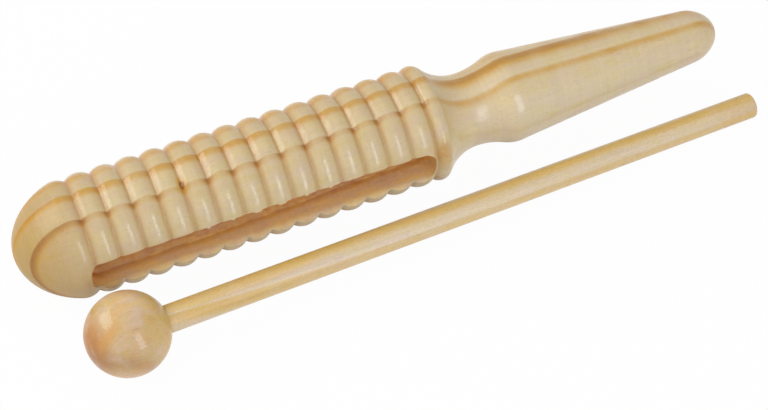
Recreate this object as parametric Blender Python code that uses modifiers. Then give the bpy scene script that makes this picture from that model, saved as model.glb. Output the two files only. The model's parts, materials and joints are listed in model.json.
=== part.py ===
"""Reco-reco: a turned pine scraper with a routed sound slot, and its ball-headed beater.

Metres, +Z up. The scraper lies along X, its domed nose at low X and its handle at high X.
The slot opens towards -Y, and the beater lies on the table on that side.
The origin is on the table, under the middle of the whole set.
"""

import math

import bmesh
import bpy
from mathutils import Matrix, Vector

MM = 0.001

# Row of turned beads that the stick scrapes
CREST_DIAMETER = 43.0 * MM
BEAD_COUNT = 14
BEAD_PITCH = 9.0 * MM
GROOVE_DEPTH = 1.8 * MM

# Domed nose: tip to its highest ring, how far that ring stays below the beads, and the dome's slope there
NOSE_LENGTH = 20.3 * MM
NOSE_STEP_DOWN = 0.4 * MM
NOSE_FLANK_ANGLE = math.radians(16.8)

# Collar, waisted neck and tapered handle
COLLAR_RADIUS = 3.7 * MM
COLLAR_TO_NECK = 16.6 * MM
NECK_DIAMETER = 27.5 * MM
NECK_TO_SHOULDER = 16.0 * MM
SHOULDER_DIAMETER = 33.9 * MM
SHOULDER_RADIUS = 8.0 * MM
HANDLE_LENGTH = 75.0 * MM
HANDLE_END_DIAMETER = 20.0 * MM
HANDLE_CAP_LENGTH = 10.9 * MM

# Sound slot, routed square to the side with a small cutter
SLOT_WIDTH = 12.0 * MM
SLOT_DEPTH = 28.0 * MM
SLOT_CORNER_RADIUS = 3.0 * MM
SLOT_BEFORE_FIRST_GROOVE = 2.3 * MM
SLOT_SHORT_OF_LAST_GROOVE = 0.4 * MM
SLOT_TILT = math.radians(3.0)
CUTTER_OVERRUN = 4.0 * MM

# Round-over along both long edges of the slot, which takes the corners off the beads but hardly meets the grooves
LIP_RADIUS = 3.0 * MM
LIP_START_BELOW_CREST = 4.2 * MM
LIP_SWEEP = math.radians(75.0)
LIP_PILOT_GAP = 0.1 * MM

# Beater: drilled ball on a slightly tapered dowel
BALL_DIAMETER = 30.0 * MM
SOCKET_DEPTH = 20.0 * MM
STICK_DIAMETER = 10.0 * MM
STICK_BUTT_DIAMETER = 9.6 * MM
STICK_LENGTH = 254.3 * MM
STICK_EDGE_RADIUS = 0.8 * MM
FIT_GAP = 0.3 * MM

# Where the beater lies: its ball beside the first beads, clear of them, and its butt nearer the body
BALL_FROM_NOSE_TIP = 27.1 * MM
BALL_TO_BODY_GAP = 4.3 * MM
BEATER_YAW = math.radians(3.0)

# Facets
BODY_STEPS = 40
BEATER_STEPS = 32
BEAD_FACETS = 6
NOSE_FACETS = 9
CURVE_FACETS = 5
CAP_FACETS = 8
BALL_FACETS = 14
EDGE_FACETS = 3
CORNER_FACETS = 4
LIP_FACETS = 3
MERGE_DISTANCE = 0.01 * MM

CREST_RADIUS = CREST_DIAMETER / 2
BALL_RADIUS = BALL_DIAMETER / 2
STICK_RADIUS = STICK_DIAMETER / 2
STICK_BUTT_RADIUS = STICK_BUTT_DIAMETER / 2
GROOVE_RADIUS = CREST_RADIUS - GROOVE_DEPTH
BEAD_RADIUS = ((BEAD_PITCH / 2) ** 2 + GROOVE_DEPTH ** 2) / (2 * GROOVE_DEPTH)
SOCKET_FLOOR = BALL_RADIUS - SOCKET_DEPTH
STICK_BUTT = SOCKET_FLOOR + FIT_GAP + STICK_LENGTH


def spaced(start, end, count):
    """Return count + 1 evenly spaced values from start to end."""
    return [start + (end - start) * step / count for step in range(count + 1)]


def crest_arc(crest, radius, start, end, count):
    """Return (height, radius) points of an arc that tops out at crest, by angles from the crest."""
    height, top = crest
    centre = top - radius
    return [(height + radius * math.sin(angle), centre + radius * math.cos(angle))
            for angle in spaced(start, end, count)]


def valley_arc(valley, radius, start, end, count):
    """Return (height, radius) points of a hollow arc that bottoms out at valley, by angles from it."""
    height, bottom = valley
    centre = bottom + radius
    return [(height + radius * math.sin(angle), centre - radius * math.cos(angle))
            for angle in spaced(start, end, count)]


def reach_down(radius, drop):
    """Return the angle at which an arc of this radius lies drop below its crest."""
    return math.acos(1 - drop / radius)


def ogee(crest, valley, crest_radius):
    """Return the turning angle and the valley's radius of two tangent arcs that join crest and valley."""
    across = abs(valley[0] - crest[0])
    turn = 2 * math.atan2(crest[1] - valley[1], across)
    return turn, across / math.sin(turn) - crest_radius


def nose_points():
    """Return the nose from its tip: an elliptic dome, then a rounding down into the first groove."""
    crest = (NOSE_LENGTH, CREST_RADIUS - NOSE_STEP_DOWN)
    down = reach_down(BEAD_RADIUS, crest[1] - GROOVE_RADIUS)
    rounding = crest_arc(crest, BEAD_RADIUS, -NOSE_FLANK_ANGLE, down, CURVE_FACETS)
    end_height, end_radius = rounding[0]
    run = end_radius / math.tan(NOSE_FLANK_ANGLE)
    half_length = end_height * (run - end_height) / (run - 2 * end_height)
    end_angle = math.acos(1 - end_height / half_length)
    half_width = end_radius / math.sin(end_angle)
    dome = [(half_length * (1 - math.cos(angle)), half_width * math.sin(angle))
            for angle in spaced(0, end_angle, NOSE_FACETS)]
    return dome + rounding[1:]


def bead_row_points(first_groove):
    """Return the row of beads, each an arc from one groove to the next."""
    reach = math.asin(BEAD_PITCH / 2 / BEAD_RADIUS)
    points = []
    for bead in range(BEAD_COUNT):
        crest = (first_groove + (bead + 0.5) * BEAD_PITCH, CREST_RADIUS)
        points += crest_arc(crest, BEAD_RADIUS, -reach, reach, BEAD_FACETS)[1:]
    return points


def handle_points(last_groove):
    """Return the collar, the neck and the tapered handle with its domed end."""
    up = reach_down(COLLAR_RADIUS, GROOVE_DEPTH)
    collar = (last_groove + COLLAR_RADIUS * math.sin(up), CREST_RADIUS)
    neck = (collar[0] + COLLAR_TO_NECK, NECK_DIAMETER / 2)
    shoulder = (neck[0] + NECK_TO_SHOULDER, SHOULDER_DIAMETER / 2)
    cap = (shoulder[0] + HANDLE_LENGTH, HANDLE_END_DIAMETER / 2)
    taper = (shoulder[1] - cap[1]) / HANDLE_LENGTH
    cove_turn, cove_radius = ogee(collar, neck, COLLAR_RADIUS)
    flare_turn, flare_radius = ogee(shoulder, neck, SHOULDER_RADIUS)

    points = crest_arc(collar, COLLAR_RADIUS, -up, cove_turn, CURVE_FACETS + CURVE_FACETS)[1:]
    points += valley_arc(neck, cove_radius, -cove_turn, 0, CURVE_FACETS)[1:]
    points += valley_arc(neck, flare_radius, 0, flare_turn, CURVE_FACETS)[1:]
    points += crest_arc(shoulder, SHOULDER_RADIUS, -flare_turn, math.atan(taper), CURVE_FACETS)[1:]
    for angle in spaced(0, math.pi / 2, CAP_FACETS):
        height = cap[0] + HANDLE_CAP_LENGTH * math.sin(angle)
        points.append((height, (cap[1] - taper * (height - cap[0])) * math.cos(angle)))
    return points


def body_points():
    """Return the body's whole profile, the row's first and last groove, and the body's length."""
    nose = nose_points()
    first_groove = nose[-1][0]
    last_groove = first_groove + BEAD_COUNT * BEAD_PITCH
    handle = handle_points(last_groove)
    return nose + bead_row_points(first_groove) + handle, first_groove, last_groove, handle[-1][0]


def ball_points():
    """Return the ball's profile: up the drilled socket from its floor, then down the outside."""
    socket_radius = STICK_RADIUS + FIT_GAP
    mouth = math.acos(socket_radius / BALL_RADIUS)
    outside = [(BALL_RADIUS * math.sin(angle), BALL_RADIUS * math.cos(angle))
               for angle in spaced(mouth, -math.pi / 2, BALL_FACETS)]
    return [(SOCKET_FLOOR, 0.0), (SOCKET_FLOOR, socket_radius)] + outside


def stick_points():
    """Return the dowel's profile: its flat butt, the eased edge and the taper down into the socket."""
    edge = [(STICK_BUTT - STICK_EDGE_RADIUS * (1 - math.cos(angle)),
             STICK_BUTT_RADIUS - STICK_EDGE_RADIUS * (1 - math.sin(angle)))
            for angle in spaced(0, math.pi / 2, EDGE_FACETS)]
    start = SOCKET_FLOOR + FIT_GAP
    return [(STICK_BUTT, 0.0)] + edge + [(start, STICK_RADIUS), (start, 0.0)]


def clear_scene():
    """Remove every object that is in the scene."""
    for item in list(bpy.data.objects):
        bpy.data.objects.remove(item, do_unlink=True)


def new_collection(name):
    """Return a new collection, linked to the scene."""
    collection = bpy.data.collections.new(name)
    bpy.context.scene.collection.children.link(collection)
    return collection


def wood(name, colour, roughness):
    """Return a plain varnished wood material."""
    material = bpy.data.materials.new(name)
    material.use_nodes = True
    shader = material.node_tree.nodes["Principled BSDF"]
    shader.inputs["Base Color"].default_value = (*colour, 1.0)
    shader.inputs["Roughness"].default_value = roughness
    shader.inputs["Metallic"].default_value = 0.0
    return material


def turned(name, points, steps, material, collection):
    """Return an object turned about its own Z from (height, radius) points that run top to bottom."""
    mesh = bpy.data.meshes.new(name)
    corners = [(radius, 0.0, height) for height, radius in points]
    mesh.from_pydata(corners, [(at, at + 1) for at in range(len(corners) - 1)], [])
    mesh.materials.append(material)
    piece = bpy.data.objects.new(name, mesh)
    collection.objects.link(piece)
    screw = piece.modifiers.new("turning", "SCREW")
    screw.axis = "Z"
    screw.angle = 2 * math.pi
    screw.steps = steps
    screw.render_steps = steps
    screw.use_merge_vertices = True
    screw.merge_threshold = MERGE_DISTANCE
    screw.use_smooth_shade = True
    return piece


def slot_cutter(length, collection):
    """Return the block that routs the slot: X across it, -Y out of its mouth, Z along the body."""
    mesh = bpy.data.meshes.new("slot_cutter")
    floor = SLOT_DEPTH - CREST_RADIUS
    reach = SLOT_DEPTH + CUTTER_OVERRUN
    shape = bmesh.new()
    size = Matrix.Diagonal((SLOT_WIDTH, reach, length, 1.0))
    bmesh.ops.create_cube(shape, size=1.0, matrix=Matrix.Translation((0, floor - reach / 2, 0)) @ size)
    along_depth = [edge for edge in shape.edges
                   if abs((edge.verts[0].co - edge.verts[1].co).normalized().y) > 0.5]
    bmesh.ops.bevel(shape, geom=along_depth, offset=SLOT_CORNER_RADIUS, segments=CORNER_FACETS,
                    profile=0.5, affect="EDGES")
    shape.to_mesh(mesh)
    shape.free()
    return hidden_cutter(mesh, collection)


def lip_cutter(length, collection):
    """Return the bit that rounds over the slot's long edges: an outline that flares by an arc on either side."""
    mesh = bpy.data.meshes.new("lip_cutter")
    start = CREST_RADIUS - LIP_START_BELOW_CREST
    side = [(SLOT_WIDTH / 2 - LIP_PILOT_GAP + LIP_RADIUS * (1 - math.cos(angle)),
             start + LIP_RADIUS * math.sin(angle)) for angle in spaced(0, LIP_SWEEP, LIP_FACETS)]
    side.append((side[-1][0], CREST_RADIUS + CUTTER_OVERRUN))
    outline = side + [(-across, out) for across, out in reversed(side)]
    shape = bmesh.new()
    end = shape.faces.new([shape.verts.new((across, -out, -length / 2)) for across, out in outline])
    block = bmesh.ops.extrude_face_region(shape, geom=[end])["geom"]
    far_corners = [item for item in block if isinstance(item, bmesh.types.BMVert)]
    bmesh.ops.translate(shape, verts=far_corners, vec=(0, 0, length))
    bmesh.ops.recalc_face_normals(shape, faces=shape.faces)
    shape.to_mesh(mesh)
    shape.free()
    return hidden_cutter(mesh, collection)


def hidden_cutter(mesh, collection):
    """Return an object that only cuts, and isn't a piece itself."""
    cutter = bpy.data.objects.new(mesh.name, mesh)
    cutter.hide_render = True
    cutter.display_type = "WIRE"
    collection.objects.link(cutter)
    return cutter


def beater_slope():
    """Return the angle by which the stick dips so that the ball and the butt both rest on the table."""
    span = math.hypot(STICK_BUTT, STICK_BUTT_RADIUS)
    return math.asin(BALL_RADIUS / span) - math.atan2(STICK_BUTT_RADIUS, STICK_BUTT)


def set_layout(body_length):
    """Return where the nose tip and the ball's centre stand, with the set's middle at the origin."""
    apart = CREST_RADIUS + BALL_RADIUS + BALL_TO_BODY_GAP
    ball_y = -math.sqrt(apart ** 2 - (CREST_RADIUS - BALL_RADIUS) ** 2)
    along = math.cos(beater_slope()) * math.cos(BEATER_YAW)
    butt_x = BALL_FROM_NOSE_TIP + STICK_BUTT * along + STICK_BUTT_RADIUS * math.sqrt(1 - along ** 2)
    middle_x = max(body_length, butt_x) / 2
    middle_y = (ball_y - BALL_RADIUS + CREST_RADIUS) / 2
    nose_tip = Vector((-middle_x, -middle_y, CREST_RADIUS))
    ball_centre = Vector((BALL_FROM_NOSE_TIP - middle_x, ball_y - middle_y, BALL_RADIUS))
    return nose_tip, ball_centre


def cut(body, name, cutter, middle):
    """Cut the body with a cutter that is set at a height along it and tilted as the slot is."""
    cutter.parent = body
    cutter.location = (0, 0, middle)
    cutter.rotation_euler = (0, 0, -SLOT_TILT)
    step = body.modifiers.new(name, "BOOLEAN")
    step.operation = "DIFFERENCE"
    step.solver = "EXACT"
    step.object = cutter


def build_body(parts, cutters, points, first_groove, last_groove, nose_tip):
    """Turn the scraper, lay it along X, rout its slot and round over the slot's edges."""
    pine = wood("varnished_pine", (0.73, 0.55, 0.31), 0.42)
    body = turned("ridged_body", list(reversed(points)), BODY_STEPS, pine, parts)
    body.location = nose_tip
    body.rotation_euler = (0, math.pi / 2, 0)
    slot_start = first_groove - SLOT_BEFORE_FIRST_GROOVE
    slot_end = last_groove - SLOT_SHORT_OF_LAST_GROOVE
    cut(body, "sound_slot", slot_cutter(slot_end - slot_start, cutters), (slot_start + slot_end) / 2)
    cut(body, "lips", lip_cutter(last_groove - first_groove, cutters), (first_groove + last_groove) / 2)


def build_beater(parts, ball_centre):
    """Make the ball and the dowel in it, carried by an empty that lays them on the table."""
    carrier = bpy.data.objects.new("beater", None)
    carrier.location = ball_centre
    carrier.rotation_euler = (0, math.pi / 2 + beater_slope(), BEATER_YAW)
    parts.objects.link(carrier)
    ball_wood = wood("ball_wood", (0.72, 0.50, 0.24), 0.45)
    stick_wood = wood("stick_wood", (0.76, 0.55, 0.26), 0.45)
    ball = turned("beater_ball", ball_points(), BEATER_STEPS, ball_wood, parts)
    stick = turned("beater_stick", stick_points(), BEATER_STEPS, stick_wood, parts)
    for piece in (ball, stick):
        piece.parent = carrier


def main():
    """Build the scraper and its beater."""
    clear_scene()
    parts = new_collection("reco_reco")
    cutters = new_collection("cutters")
    points, first_groove, last_groove, body_length = body_points()
    nose_tip, ball_centre = set_layout(body_length)
    build_body(parts, cutters, points, first_groove, last_groove, nose_tip)
    build_beater(parts, ball_centre)


main()
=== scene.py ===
"""Looks of a reco-reco: a turned pine scraper with a routed slot, and its ball-headed beater.

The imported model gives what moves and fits. Each piece here is a finer surface of the same form, worked out as
whole numpy arrays. Each wood is one solid growth of rings that the surface cuts through, as a lathe does.
Sizes are in millimetres in a piece's own axes, and the meshes are in metres in the frame.
"""

import json
import logging
import math
from dataclasses import dataclass
from enum import Enum

import bpy
import numpy as np
from mathutils import Euler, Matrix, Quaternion, Vector


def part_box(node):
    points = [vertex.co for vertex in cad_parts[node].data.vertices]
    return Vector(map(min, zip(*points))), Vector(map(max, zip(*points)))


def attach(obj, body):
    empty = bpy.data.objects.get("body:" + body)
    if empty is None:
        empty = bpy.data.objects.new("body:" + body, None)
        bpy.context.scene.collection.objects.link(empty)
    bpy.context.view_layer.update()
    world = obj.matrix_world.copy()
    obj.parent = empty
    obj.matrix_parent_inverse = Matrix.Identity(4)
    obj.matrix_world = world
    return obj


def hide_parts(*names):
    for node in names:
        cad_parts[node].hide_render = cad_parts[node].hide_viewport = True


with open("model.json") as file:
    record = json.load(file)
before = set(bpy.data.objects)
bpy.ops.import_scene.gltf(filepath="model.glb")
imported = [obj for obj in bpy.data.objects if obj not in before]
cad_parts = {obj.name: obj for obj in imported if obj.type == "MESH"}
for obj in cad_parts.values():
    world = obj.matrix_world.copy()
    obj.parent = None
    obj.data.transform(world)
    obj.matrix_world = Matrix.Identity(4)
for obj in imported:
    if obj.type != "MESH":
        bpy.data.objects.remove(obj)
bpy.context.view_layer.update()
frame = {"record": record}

MM = 0.001
TINY = 1e-6
DECIMALS = 4
LENGTHWAYS = Vector((1, 0, 0))

Array = np.ndarray
Colour = tuple[int, int, int]
Span = tuple[float, float]
Stations = tuple[float, float, float]

log = logging.getLogger("reco_reco")


class Body(Enum):
    """The bodies that pieces ride on."""

    SCRAPER = "scraper"
    BEATER = "beater"


class Slot(Enum):
    """The record's material slots."""

    BODY_PINE = "body_pine"
    STICK_WOOD = "stick_wood"
    BALL_WOOD = "ball_wood"


class Mark(Enum):
    """What a mesh says at a point: how squarely it cuts the grain, how deep in a groove and how raw it is."""

    END_GRAIN = "end_grain"
    GROOVE = "groove"
    RAW = "raw"


class Sums(Enum):
    """The Math node operations that the arithmetic of sockets uses."""

    ADD = "ADD"
    SUBTRACT = "SUBTRACT"
    MULTIPLY = "MULTIPLY"
    DIVIDE = "DIVIDE"
    ROOT = "SQRT"
    FRACTION = "FRACT"
    LESSER = "MINIMUM"


def linear(colour: Colour) -> tuple[float, float, float, float]:
    """Turn a display colour into the linear one that shaders take, by the usual curve of screens.

    Args:
        colour: Red, green and blue from 0 to 255, as they look on a screen.

    Returns:
        Linear red, green and blue, and a full alpha.
    """
    share = np.array(colour) / 255
    curve = np.where(share <= 0.04045, share / 12.92, ((share + 0.055) / 1.055) ** 2.4)
    return (*(float(part) for part in curve), 1.0)


class Sock:
    """A node's output socket that takes part in Python arithmetic."""

    def __init__(self, desk: "Desk", socket: bpy.types.NodeSocket | None) -> None:
        """Wrap a socket of one of the desk's nodes."""
        self.desk = desk
        self.socket = socket

    def sibling(self, name: str) -> "Sock":
        """Return another output of the same node."""
        return Sock(self.desk, self.socket.node.outputs[name])

    def sums(self, operation: Sums, *terms: "Sock | float") -> "Sock":
        """Return the Math node that works an operation on these terms."""
        return self.desk.node("ShaderNodeMath", {"operation": operation.value}, dict(enumerate(terms)))

    def __add__(self, other: "Sock | float") -> "Sock":
        """Return self + other."""
        return self.sums(Sums.ADD, self, other)

    __radd__ = __add__

    def __sub__(self, other: "Sock | float") -> "Sock":
        """Return self - other."""
        return self.sums(Sums.SUBTRACT, self, other)

    def __rsub__(self, other: "Sock | float") -> "Sock":
        """Return other - self."""
        return self.sums(Sums.SUBTRACT, other, self)

    def __mul__(self, other: "Sock | float") -> "Sock":
        """Return self * other."""
        return self.sums(Sums.MULTIPLY, self, other)

    __rmul__ = __mul__

    def __truediv__(self, other: "Sock | float") -> "Sock":
        """Return self / other."""
        return self.sums(Sums.DIVIDE, self, other)

    def root(self) -> "Sock":
        """Return the square root."""
        return self.sums(Sums.ROOT, self)

    def fraction(self) -> "Sock":
        """Return what is left above the whole number below."""
        return self.sums(Sums.FRACTION, self)

    def at_most(self, limit: "Sock | float") -> "Sock":
        """Return the lesser of the value and a limit."""
        return self.sums(Sums.LESSER, self, limit)

    def rise(self, low: "Sock | float", high: "Sock | float") -> "Sock":
        """Return a smooth step from 0 at low to 1 at high."""
        inputs = {"Value": self, "From Min": low, "From Max": high}
        return self.desk.node("ShaderNodeMapRange", {"interpolation_type": "SMOOTHSTEP"}, inputs)


class Desk:
    """A node tree, with one way to add any node and short ways to the usual ones."""

    def __init__(self, tree: bpy.types.NodeTree) -> None:
        """Clear a node tree to work on."""
        self.tree = tree
        tree.nodes.clear()

    def node(self, kind: str, settings: dict | None = None, inputs: dict | None = None,
             output: int | str = 0) -> Sock:
        """Add a node, set it up and join it.

        Args:
            kind: The node's type name.
            settings: Its properties, which are set first.
            inputs: Values or sockets for its inputs, by name or by number.
            output: Which output to return, by name or by number.

        Returns:
            That output, or an empty socket where the node has none.
        """
        made = self.tree.nodes.new(kind)
        for key, value in (settings or {}).items():
            setattr(made, key, value)
        for key, value in (inputs or {}).items():
            if isinstance(value, Sock):
                self.tree.links.new(value.socket, made.inputs[key])
            else:
                made.inputs[key].default_value = value
        return Sock(self, made.outputs[output] if len(made.outputs) else None)

    def attribute(self, mark: Mark) -> Sock:
        """Return a number that the mesh carries at its points, or 0 where it carries none."""
        return self.node("ShaderNodeAttribute", {"attribute_name": mark.value}, output="Fac")

    def blend(self, share: Sock | float, first: Sock | tuple, second: Sock | tuple) -> Sock:
        """Return the colour that is a share of the way from the first to the second."""
        return self.node("ShaderNodeMix", {"data_type": "RGBA"}, {0: share, 6: first, 7: second}, output=2)

    def tint(self, colour: Sock, by: tuple, share: Sock) -> Sock:
        """Return a colour multiplied by another, by a share."""
        settings = {"data_type": "RGBA", "blend_type": "MULTIPLY"}
        return self.node("ShaderNodeMix", settings, {0: share, 6: colour, 7: by}, output=2)

    def brighten(self, colour: Sock, by: Sock) -> Sock:
        """Return a colour scaled by a number."""
        return self.node("ShaderNodeVectorMath", {"operation": "SCALE"}, {"Vector": colour, "Scale": by})


@dataclass(frozen=True)
class Bench:
    """The axes that a piece is turned in: where they start, in metres, and the turn that lays them there."""

    start: Vector
    turn: Euler

    def place(self, local: Array) -> Array:
        """Carry points to the frame.

        Args:
            local: Points in millimetres along the axis, to the side and up, in the last dimension.

        Returns:
            The same points in metres in the frame: start + turn x point.
        """
        return np.array(self.start) + MM * local @ np.array(self.turn.to_matrix()).T


@dataclass(frozen=True)
class Grain:
    """A noise in the wood: cells per millimetre along and across the grain, octaves and an offset of its own.

    Shade, polish and height are its shares in how bright, how rough and how high the surface is. Its spots
    come up between the two values of span.
    """

    along: float
    across: float
    octaves: float
    offset: float
    shade: float = 0.0
    polish: float = 0.0
    height: float = 0.0
    span: Span = (-1.0, 1.0)


BEND = Grain(0.013, 0.05, 2.0, 0.0)
RIPPLE = Grain(0.06, 0.3, 2.0, 7.0)
STREAK = Grain(0.012, 0.55, 3.0, 3.0, shade=0.7, polish=0.06, height=0.5)
HAIR = Grain(0.03, 1.6, 3.0, 11.0, shade=0.8, polish=0.05, height=1.0)
TURNING = Grain(0.9, 0.05, 3.0, 17.0, height=0.8)
GRIT = Grain(1.1, 2.0, 3.0, 41.0, shade=1.4, polish=0.08, height=1.0)
CLOUD = Grain(0.11, 0.24, 2.0, 53.0, span=(-0.4, 0.7))
PATCH = Grain(0.11, 0.08, 2.0, 61.0, span=(0.0, 0.5))
FUZZ = Grain(0.35, 0.7, 3.0, 71.0, span=(-0.3, 0.5))
DASH = Grain(0.20, 2.4, 1.0, 23.0, span=(0.30, 0.60))
DOT = Grain(0.9, 1.3, 1.0, 31.0, span=(0.36, 0.60))


class Cut:
    """A point of the surface as its wood reads it: its place in the blank, its marks and its noises."""

    def __init__(self, desk: Desk, bench: Bench, crossings: tuple[Span, Span]) -> None:
        """Read the point's place, its marks and how far it is past each crossing from station to station.

        Args:
            desk: The material's node tree.
            bench: The axes that the piece is turned in.
            crossings: The two stretches along the piece over which one station passes into the next.
        """
        where = desk.node("ShaderNodeTexCoord", output="Object")
        laid = {"Vector": where, "Location": bench.start, "Rotation": bench.turn, "Scale": (MM, MM, MM)}
        self.desk = desk
        self.place = desk.node("ShaderNodeMapping", {"vector_type": "TEXTURE"}, laid)
        split = desk.node("ShaderNodeSeparateXYZ", {}, {0: self.place})
        self.along, self.side, self.up = (split.sibling(axis) for axis in "XYZ")
        self.end, self.groove, self.raw = (desk.attribute(mark) for mark in Mark)
        self.shares = [self.along.rise(*crossing) for crossing in crossings]
        self.noises: dict[Grain, Sock] = {}

    def noise(self, grain: Grain) -> Sock:
        """Return smooth noise from about -1 to 1, which is made once for each grain."""
        if grain not in self.noises:
            cells = self.desk.node("ShaderNodeVectorMath", {"operation": "MULTIPLY_ADD"},
                                   {0: self.place, 1: (grain.along, grain.across, grain.across),
                                    2: (grain.offset,) * 3})
            inputs = {"Vector": cells, "Scale": 1.0, "Detail": grain.octaves}
            self.noises[grain] = self.desk.node("ShaderNodeTexNoise", {}, inputs) * 2 - 1
        return self.noises[grain]

    def spots(self, grain: Grain) -> Sock:
        """Return where a grain's spots come up, from 0 to 1."""
        return self.noise(grain).rise(*grain.span)

    def station(self, values: Stations) -> Sock:
        """Return a number that changes from station to station along the piece."""
        near, middle, far = values
        return near + (middle - near) * self.shares[0] + (far - middle) * self.shares[1]


def even(value: float) -> Stations:
    """Return the same number for a piece's three stations."""
    return (value, value, value)


@dataclass(frozen=True)
class Blank:
    """How growth rings run through a blank, in millimetres in the piece's own axes.

    The pith is a line beside the piece. Its distances to the side and upwards are polynomials in strides
    along the piece. The age is a polynomial in ring widths, because some years are wider than others. Past a
    steady number of ring widths, each of them is as many years as later says. Wander is how far the rings
    stray. Upright is how much a height counts in the distance to the pith, below 1 for tall rings.
    """

    pith_side: tuple[float, ...]
    pith_up: tuple[float, ...]
    ring_radius: float
    ring_width: float
    wander: float
    growth: tuple[float, ...] = (0.0, 1.0)
    steady: float = 2.0
    later: float = 1.0
    upright: float = 1.0
    stride: float = 100.0
    ripple_share: float = 0.25

    def years(self, cut: Cut) -> Sock:
        """Return the age of the wood: the growth of (distance to the pith - ring radius) / ring width.

        Args:
            cut: The point of the surface.

        Returns:
            A number that is whole at the outer edge of each year's ring.
        """
        strides = cut.along / self.stride
        off_side = cut.side - self.polynomial(strides, self.pith_side)
        off_up = (cut.up - self.polynomial(strides, self.pith_up)) * self.upright
        distance = (off_side * off_side + off_up * off_up).root()
        bend = cut.noise(BEND) * self.wander
        ripple = cut.noise(RIPPLE) * (self.wander * self.ripple_share)
        turns = (distance + bend + ripple - self.ring_radius) / self.ring_width
        young = turns.at_most(self.steady)
        return self.polynomial(young, self.growth) + (turns - young) * self.later

    @staticmethod
    def polynomial(value: Sock, terms: tuple[float, ...]) -> Sock | float:
        """Return terms[0] + terms[1] value + terms[2] value^2 and so on."""
        total: Sock | float = terms[-1]
        for term in reversed(terms[:-1]):
            total = value * total + term
        return total


@dataclass(frozen=True)
class Blemish:
    """An egg of other wood, such as a knot or a stain: its place in the piece's axes and its half sizes."""

    along: float
    side: float
    up: float
    half_length: float
    half_width: float
    half_height: float

    def distance(self, cut: Cut) -> Sock:
        """Return how far a point is from the middle, where 1 is the surface of the egg."""
        length = (cut.along - self.along) / self.half_length
        width = (cut.side - self.side) / self.half_width
        height = (cut.up - self.up) / self.half_height
        return (length * length + width * width + height * height).root()


@dataclass(frozen=True)
class Season:
    """One year's summer wood at a piece's three stations: its near end, its middle and its far end.

    A start is the share of the year at which the wood begins to turn honey. Honey and rust are shares of
    those colours, and spots is the share of both that comes on top in the grooves.
    """

    starts: Stations
    honey: Stations
    rust: Stations = even(0.0)
    spots: Stations = even(0.0)


@dataclass(frozen=True)
class Calendar:
    """How any year's wood changes, in shares of the year, and the ages at which the later seasons begin.

    The wood is fully honey at a share of what is left of the year after its start, and a weaker glow begins
    earlier. Rust comes on over a span about that time. Patches and streaks make both uneven.
    """

    season_ages: tuple[float, ...] = (-1.0, 0.0, 1.0)
    age_step: float = 0.001
    full_at: float = 0.55
    early_by: float = 0.6
    early_share: float = 0.25
    rust_span: Span = (-0.15, 0.08)
    patchiness: float = 0.5
    streakiness: float = 0.02


@dataclass(frozen=True)
class RawWood:
    """The bare wood in the routed slot: patchier, rougher and redder, with painted shade and light in it.

    Mouth and floor are spans to the side of the axis, in millimetres: red fuzz comes on over the first, where
    its stronger, darker part is painted shade, and gives way to paler wood over the second. The lift is how
    much brighter the raw wood is made, partly as painted light in the slot; cloud_lift and cloud_years are how
    much clouds change its brightness and its rings, and summer what its honey and its rust gain.
    """

    mouth: Span = (-16.0, -11.0)
    floor: Span = (-9.0, 4.0)
    red: Colour = (176, 88, 44)
    red_share: float = 0.05
    # Painted shade: the share of darker red a little way inside the slot's mouth.
    red_shade_inside: float = 0.35
    red_shade_lost: float = 0.6
    floor_pale: Colour = (230, 212, 176)
    floor_pale_share: float = 0.65
    tint: Colour = (250, 239, 222)
    # Partly painted light: how much the slot's raw wood is brightened.
    lift: float = 0.50
    cloud_lift: float = 0.3
    cloud_years: float = 0.15
    summer: float = 0.2
    grit: float = 2.0
    roughness: float = 0.3

    def reddened_and_shaded(self, cut: Cut, colour: Sock) -> Sock:
        """Return the colour with red fuzz, most of it a little way inside the slot's mouth as painted shade."""
        # Painted shade: the darker red comes on a little way into the mouth and fades towards the floor.
        inside = cut.raw * cut.side.rise(*self.mouth) * (1 - self.red_shade_lost * cut.side.rise(*self.floor))
        share = cut.spots(FUZZ) * (self.red_share * cut.raw + self.red_shade_inside * inside)
        return cut.desk.blend(share, colour, linear(self.red))

    def paled_to_floor(self, cut: Cut, colour: Sock) -> Sock:
        """Return the colour with the raw wood's tint, and paler towards the slot's floor."""
        colour = cut.desk.tint(colour, linear(self.tint), cut.raw)
        share = self.floor_pale_share * cut.raw * cut.side.rise(*self.floor)
        return cut.desk.blend(share, colour, linear(self.floor_pale))


YEAR = Calendar()
SLOT_WOOD = RawWood()


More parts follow.
